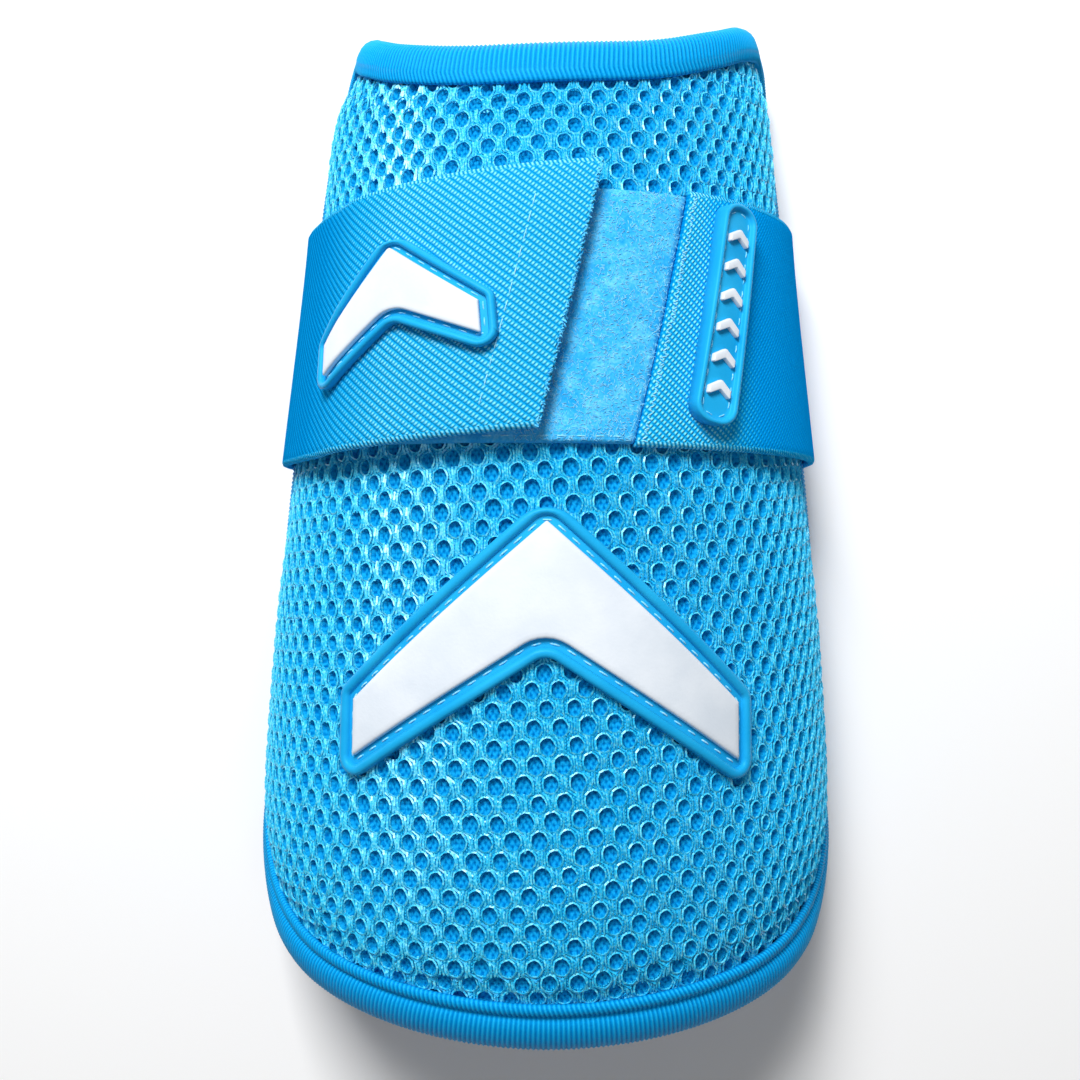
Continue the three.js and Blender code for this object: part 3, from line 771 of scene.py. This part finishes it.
def strap_run(share, offset, height):
    start, end = sewn_turn(offset), free_turn(offset)
    if share == 1:
        end = end + ragged
    return strap_place(start + (end - start) * share, offset, height)


strap_rings = strip_rings(strap_run, strap_shares, strap_section)
turns = sewn_turn(strap_section[None, :, 0]) * (1 - strap_shares[:, None])
turns = turns + free_turn(strap_section[None, :, 0]) * strap_shares[:, None]
offsets = np.broadcast_to(strap_section[:, 0], turns.shape)
weave = np.stack([turns * loop_length, offsets, 0 * turns], -1) * 1000


def woven(name, colours, crisp_and_lit, smooth):
    """Slanted rows of beads between edge cords, with pale crests painted as highlights and painted shade
    between them, drawn smoother and painted darker as shade between two places in mm.
    """
    material, tree, shader = finish_of(name, colours[2], roughness=0.8, gloss=0.0)
    cloth, u, v = thread_grid(tree)
    rows = beaded(tree, u, v, rib=1.14, bead=0.70, lean=-0.73, share=0.8, stagger=0.0)
    stretch = {"From Min": crisp_and_lit, "From Max": smooth, "To Min": 1.0, "To Max": 0.5}
    # From the first place to the second the weave's bumps flatten, and the same factor darkens its colour
    # below: painted shade round the sides.
    pulled_and_shaded = wire(tree, "ShaderNodeMapRange", {"Value": u, **stretch})
    rows = reckon(tree, "MULTIPLY", rows, pulled_and_shaded)
    cords = beaded(tree, u, v, rib=0.75, bead=0.9, lean=-1.2, share=0.3)
    edge = {"From Min": 24.1, "From Max": 24.4}
    margin = wire(tree, "ShaderNodeMapRange", {"Value": reckon(tree, "ABSOLUTE", v), **edge})
    rows = wire(tree, "ShaderNodeMix", {"Factor": margin, "A": rows, "B": cords})
    fuzz = speckled(tree, 2.6, cloth)
    # The colour is lowered where the weave is drawn smooth: painted shade on the strap's sides.
    painted_side_shade = reckon(tree, "MULTIPLY_ADD", pulled_and_shaded, 0.44, -0.54)
    tint = reckon(tree, "MULTIPLY_ADD", fuzz, 0.5, reckon(tree, "MULTIPLY_ADD", rows, 0.75, painted_side_shade))
    # Bead crests take the palest colours as painted highlights, and the gaps between beads take painted
    # shade.
    coloured(tree, shader, tint, list(zip((0.0, 0.2, 0.55, 0.9), colours)))
    raised(tree, shader, rows, 0.0003)
    return material


# The last, palest colour of each set is the beads' painted highlight.
slack_blues = ("#007cc4", "#0092d8", "#2cb6ec", "#88e0fb")
stretched_blues = ("#0096ee", "#009ae8", "#28bef2", "#94e8fd")
twill = woven("slack_twill", slack_blues, crisp_and_lit=258.0, smooth=236.0)
stretched_twill = woven("stretched_twill", stretched_blues, crisp_and_lit=31.0, smooth=43.0)

elastic_strap = sewn_piece("elastic_strap", strap_rings, skin(strap_rings), stretched_twill)
elastic_strap.data.materials.append(twill)
ring_faces, stretched_share = len(strap_section) * (len(strap_shares) - 1), 0.45
on_left = np.arange(len(elastic_strap.data.polygons)) > ring_faces * stretched_share
elastic_strap.data.polygons.foreach_set("material_index", on_left.astype(np.int32))
keep_on_points(elastic_strap, "cloth", weave.reshape(-1, 3))
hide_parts("strap")

tuft_count, tuft_root, fray_inset = 520, 0.0005, 0.0006
tuft_radii = np.array([0.00025, 0.00026, 0.00022, 0.00012])
offset = fray_seed.uniform(-0.5, 0.5, tuft_count) * (strap["width"] - fray_inset)
length = fray_seed.uniform(0.0002, 0.0008, tuft_count)
start_height = fray_seed.uniform(0.0005, 0.0019, tuft_count)
t = np.linspace(0, 1, len(tuft_radii))[None]
sideways = fray_seed.normal(0, 0.0005, tuft_count)[:, None] * t**2
droop = fray_seed.normal(0.0003, 0.0004, tuft_count)[:, None] * t**2
tufts = strap_place(
    free_turn(offset)[:, None] + (length[:, None] * t - tuft_root) / loop_length,
    offset[:, None] + sideways,
    start_height[:, None] + droop,
)
away = away_from(strap_place, free_turn(offset), offset)
tuft_points, tuft_faces = strands(tufts, away, tuft_radii, sides=5)
cut_mix = [(0.35, "#16a4e8"), (0.65, "#74d8fb")]
yarn_ends = flecked("cut_yarn", "#2aa6ee", 3000.0, cut_mix, 0.0001, roughness=0.8, sheen=0.2)
frayed_end = sewn_piece("frayed_end", tuft_points, tuft_faces, yarn_ends)

# Strap stitching. Pale polyester thread holds the strap: a zigzag down the sewn end, a straight row
# near the free end over the hook tape, and a row along the lower edge of the loop patch.


def stitched(name, lay, starts, ends, rest, radius):
    """Single stitches between places on a surface, each arched up out of it and sunk at its ends."""
    t = np.linspace(0, 1, 5)[None, :, None]
    way = starts[:, None] * (1 - t) + ends[:, None] * t
    height = rest + radius * (2.2 * np.sin(math.pi * t[..., 0]) - 1.4)
    centres = lay(way[..., 0], way[..., 1], height)
    away = away_from(lay, *((starts + ends) / 2).T)
    thick = radius * np.array([0.7, 1.0, 1.05, 1.0, 0.7])
    piece = sewn_piece(name, *strands(centres, away, thick, sides=6), pale_thread)


def sewn_row(name, lay, path, stitch, rest):
    """A row of straight stitches along a path on a surface."""
    run = walked(path)
    count = int(run[-1] / (stitch["length"] + stitch["gap"]))
    first = np.arange(count) * (run[-1] / count)
    starts, ends = points_at(path, run, first), points_at(path, run, first + stitch["length"])
    stitched(name, lay, starts, ends, rest, stitch["radius"])


def over_strap(u, offset, height):
    return strap_place(u / loop_length, offset, height)


twist_mix = [(0.3, "#54c6f2"), (0.7, "#b0eafd")]
pale_thread = flecked("pale_thread", "#64ccf4", 2200.0, twist_mix, 0.0001, roughness=0.6)

zigzag = {"half_span": 0.0245, "corners": 72, "near": 0.0007, "far": 0.0019, "stray": 0.00013}
thread_radius, sunk = 0.00013, 0.00005
side = np.linspace(-zigzag["half_span"], zigzag["half_span"], zigzag["corners"])
inset = np.where(np.arange(zigzag["corners"]) % 2, zigzag["near"], zigzag["far"])
corners = np.stack([sewn_turn(side) * loop_length + inset, side], -1)
corners += fray_seed.normal(0, zigzag["stray"], corners.shape)
rest = strap["thickness"] - sunk
stitched("sewn_end_zigzag", over_strap, corners[:-1], corners[1:], rest, thread_radius)

free_row = {"low": -0.0205, "high": 0.0195, "inset": 0.0105}
free_stitch = {"length": 0.0028, "gap": 0.0004, "radius": thread_radius}
side = np.linspace(free_row["low"], free_row["high"], 40)
row = np.stack([free_turn(side) * loop_length - free_row["inset"], side], -1)
sewn_row("free_end_row", over_strap, row, free_stitch, strap["thickness"])

patch_row = {"left": -0.012, "inset": 0.001, "offset": -0.0232}
patch_stitch = {"length": 0.0022, "gap": 0.0008, "radius": 0.00014}
side = np.linspace(patch_row["left"], patch_right(patch_row["offset"]) - patch_row["inset"], 40)
row = np.stack([side, np.full(len(side), patch["centre"] + patch_row["offset"])], -1)
sewn_row("loop_patch_row", on_sleeve, row, patch_stitch, patch["top"])

# Front badge. A thick moulded rubber badge is sewn on below the strap: a blue base with a rounded rim
# and a sunk stitch channel, and a smooth white chevron face that stands up inside it.


def rounded_rail(corners, radii, edge_points, arc_points):
    """A run of points along corners whose inner ones are rounded to their radii."""
    corners = np.asarray(corners, float)
    rail, leave = [], corners[0]
    for k in range(1, len(corners) - 1):
        back, ahead = unit(corners[k - 1] - corners[k]), unit(corners[k + 1] - corners[k])
        opening = math.acos(np.clip(back @ ahead, -1, 1))
        reach = radii[k - 1] / math.tan(opening / 2)
        enter = corners[k] + back * reach
        rail.append(leave + (enter - leave) * np.linspace(0, 1, edge_points, endpoint=False)[:, None])
        hub = corners[k] + unit(back + ahead) * radii[k - 1] / math.sin(opening / 2)
        leave = corners[k] + ahead * reach
        t = np.linspace(0, 1, arc_points, endpoint=False)[:, None]
        sweep = math.pi - opening
        arc = np.sin((1 - t) * sweep) * (enter - hub) + np.sin(t * sweep) * (leave - hub)
        rail.append(hub + arc / math.sin(sweep))
    rail.append(leave + (corners[-1] - leave) * np.linspace(0, 1, edge_points)[:, None])
    return np.vstack(rail)


def chevron(size, inset, edge_points=14):
    """A chevron's outline, set in all round: its upper rail from left to right, then the lower one back."""
    inset = inset * size["scale"]
    upper_slope = size["rise"] / size["half_span"]
    lower_slope = (size["rise"] + size["tip"] - size["apex"]) / size["half_span"]
    x = size["half_span"] - inset
    top = (size["rise"] + size["tip"]) / 2 - inset * math.hypot(1, upper_slope)
    low = (size["rise"] + size["tip"]) / 2 - size["apex"] + inset * math.hypot(1, lower_slope)
    tip_top, tip_low = top - x * upper_slope, low - x * lower_slope
    middle, part = (tip_top + tip_low) / 2, (tip_top - tip_low) / 8
    sharpest = 0.0002
    outer, inner = max(size["corner"] - inset, sharpest), size["corner"] + inset
    rails = []
    upper, lower = (middle + part, tip_top, top, 2 * outer), (middle - part, tip_low, low, inner)
    for end, tip, point, bend in (upper, lower):
        corners = [(-x, end), (-x, tip), (0, point), (x, tip), (x, end)]
        rails.append(rounded_rail(corners, [outer, bend, outer], edge_points, arc_points=6))
    return np.vstack([rails[0], rails[1][::-1]])


def moulded(name, outline, levels, lay, finish):
    """A rubber moulding built up from an outline at levels of (inset, height) in millimetres."""
    rings = np.array([lay(*outline(inset).T, height) for inset, height in np.array(levels) * 0.001])
    return sewn_piece(name, rings, skin(rings), finish, sharp=50)


base_levels = [(0.3, 0.0), (0.0, 0.3), (0.0, 1.5), (0.15, 1.9), (0.5, 2.15), (1.0, 2.25), (1.45, 2.15),
               (1.8, 1.85), (1.95, 1.45), (2.0, 1.1), (3.2, 1.1)]
face_levels = [(3.7, 1.15), (3.6, 1.3), (3.6, 2.0), (3.75, 2.3), (4.1, 2.45), (4.8, 2.5)]


def rubber(name, colour, pits, stops, cloud_detail, **plain):
    """A rubber finish: fine pits, and a slow cloud of colour."""
    material, tree, shader = finish_of(name, colour, gloss=0.3, **plain)
    coloured(tree, shader, speckled(tree, 90.0, detail=cloud_detail), stops)
    raised(tree, shader, speckled(tree, pits, detail=3.0), 0.00003)
    return material


blue_cloud = [(0.3, "#149edc"), (0.7, "#24aee6")]
white_cloud = [(0.35, "#d6dfe9"), (0.65, "#e2e9f1")]
blue_rubber = rubber("blue_rubber", "#129cdc", 1800.0, blue_cloud, 3.0, roughness=0.42)
white_rubber = rubber("white_rubber", "#eef3fa", 1500.0, white_cloud, 4.0, roughness=0.5, shine="#ffffff")


def badge(name, outline, lay, stitch):
    """A sewn badge: its blue base, its white face, and a row of stitches in the channel between them."""
    base = moulded(f"{name}_base", outline, base_levels, lay, blue_rubber)
    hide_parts(name)
    face = moulded(f"{name}_white", outline, face_levels, lay, white_rubber)
    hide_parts(f"{name}_face")
    channel, floor = 0.0028, 0.0011
    sewn_row(f"{name}_stitches", lay, closed_up(outline(channel)), stitch, floor)


front = {"half_span": 0.041, "rise": 0.037, "tip": 0.019, "apex": 0.029, "corner": 0.0035, "scale": 1}
front_along = -0.026


def front_lay(a, b, height):
    return on_sleeve(a, b + front_along, height)


front_stitch = {"length": 0.0023, "gap": 0.0011, "radius": 0.00017}
badge("front_badge", partial(chevron, front), front_lay, front_stitch)

# Strap badge. The same moulding in small is sewn on the strap's left part, where the hook tape below
# stiffens it.

small = {"half_span": 0.018, "rise": 0.017, "tip": 0.012, "apex": 0.018, "corner": 0.0028, "scale": 0.72}
small_place = {"turn": 0.906, "offset": 0.001, "lean": 0.1}


def on_strap(sewn):
    """Lays a moulding's own plane on the strap's outer face, where it is sewn and with its lean."""
    c, s = math.cos(sewn["lean"]), math.sin(sewn["lean"])

    def lay(a, b, height):
        turn = sewn["turn"] + (a * c - b * s) / loop_length
        return strap_place(turn, sewn["offset"] + (a * s + b * c), strap["thickness"] + height)

    return lay


small_stitch = {"length": 0.0020, "gap": 0.0010, "radius": 0.00014}
badge("strap_badge", partial(chevron, small, edge_points=8), on_strap(small_place), small_stitch)

# Side label. A moulded rubber bar with round ends is sewn on the strap's right part. Six small white
# chevrons stand up from its sunk floor, inside a raised rim.

label = {"length": 0.045, "radius": 0.0042}
label_lay = on_strap({"turn": 0.117, "offset": 0.0012, "lean": 1.34})
label_levels = [(0.3, 0.0), (0.0, 0.3), (0.0, 3.1), (0.08, 3.35), (0.25, 3.5), (0.5, 3.55), (0.75, 3.5),
                (0.92, 3.3), (1.0, 2.9), (1.05, 2.6), (1.15, 2.5), (1.9, 2.5)]
label_stitch = {"length": 0.0018, "gap": 0.0010, "radius": 0.00011}
seam_inset, label_floor = 0.00155, 0.0025
mark = {"half_span": 0.0023, "rise": 0.0018, "tip": 0.0018, "apex": 0.0020, "corner": 0.0003, "scale": 1}
mark_outline = partial(chevron, mark, edge_points=4)
mark_levels = [(0.0, 2.5), (0.0, 3.1), (0.12, 3.35), (0.3, 3.4)]
mark_count, mark_pitch = 6, 0.0062


def label_outline(inset):
    x, r = label["length"] / 2 - inset, label["radius"] - inset
    part = r * 0.06
    upper = [(-x, part), (-x, r), (x, r), (x, part)]
    upper = rounded_rail(upper, [r - 2 * part] * 2, edge_points=16, arc_points=10)
    return np.vstack([upper, (upper * (1, -1))[::-1]])


def mark_lay(shift):
    """Lays a mark across the label, shifted along it from its middle."""
    return lambda a, b, height: label_lay(shift + b, -a, height)


label_base = moulded("side_label_base", label_outline, label_levels, label_lay, blue_rubber)
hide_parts("side_label")
for k in range(mark_count):
    lay = mark_lay((k - (mark_count - 1) / 2) * mark_pitch)
    white_mark = moulded(f"label_chevron_{k + 1}", mark_outline, mark_levels, lay, white_rubber)
    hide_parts(f"label_mark_{k + 1}")
seam = closed_up(label_outline(seam_inset))
sewn_row("side_label_stitches", label_lay, seam, label_stitch, label_floor)

# Studio. The guard lies on a plain near-white table under a big soft light from beyond the narrow end, with
# a weak one high over the wide end, and the camera looks straight down at its front from close by.

table_finish = finish_of("white_table", "#fafafa", roughness=0.8, shine="#ffffff")[0]
table_mesh = bpy.data.meshes.new("table")
half_table = 1.5
table_corners = [(x * half_table, y * half_table, 0) for x, y in ((-1, -1), (1, -1), (1, 1), (-1, 1))]
table_mesh.from_pydata(table_corners, [], [(0, 1, 2, 3)])
table_mesh.materials.append(table_finish)
table_top = put_in_scene("table", table_mesh)


def softbox(name, place, size, power):
    """A square light that faces the guard."""
    lamp = bpy.data.lights.new(name, "AREA")
    lamp.size = size
    lamp.energy = power
    holder = put_in_scene(name, lamp)
    level = (0, 0.3, 1)
    back = unit(np.array(place))
    right = unit(np.cross(level, back))
    up = np.cross(back, right)
    facing = Matrix(np.column_stack([right, up, back]).tolist()).to_4x4()
    holder.matrix_world = Matrix.Translation(place) @ facing


softbox("key_light", (-0.17, 0.62, 0.75), size=0.36, power=12.2)
softbox("fill_light", (0.10, -0.20, 0.85), size=0.5, power=1.1)

world = bpy.data.worlds.new("studio")
world.use_nodes = True
room = world.node_tree.nodes["Background"]
room.inputs["Color"].default_value = (1, 1, 1, 1)
room.inputs["Strength"].default_value = 0.1
bpy.context.scene.world = world
bpy.context.scene.view_settings.view_transform = "Standard"

photo_pixels, focal_pixels = 1080, 1311.9
camera_place = (0.00097, -0.00664, 0.3075)
camera_turn = {"X": 0.0069, "Y": -0.0092, "Z": -0.0079}
lens = bpy.data.cameras.new("front_view")
lens.sensor_width = 36
lens.lens = lens.sensor_width * focal_pixels / photo_pixels
camera = put_in_scene("front_view", lens)
about_x, about_y, about_z = (Matrix.Rotation(angle, 3, axis) for axis, angle in camera_turn.items())
tilt = about_z @ about_x @ about_y
camera.matrix_world = Matrix.Translation(camera_place) @ tilt.transposed().to_4x4()
bpy.context.scene.camera = camera
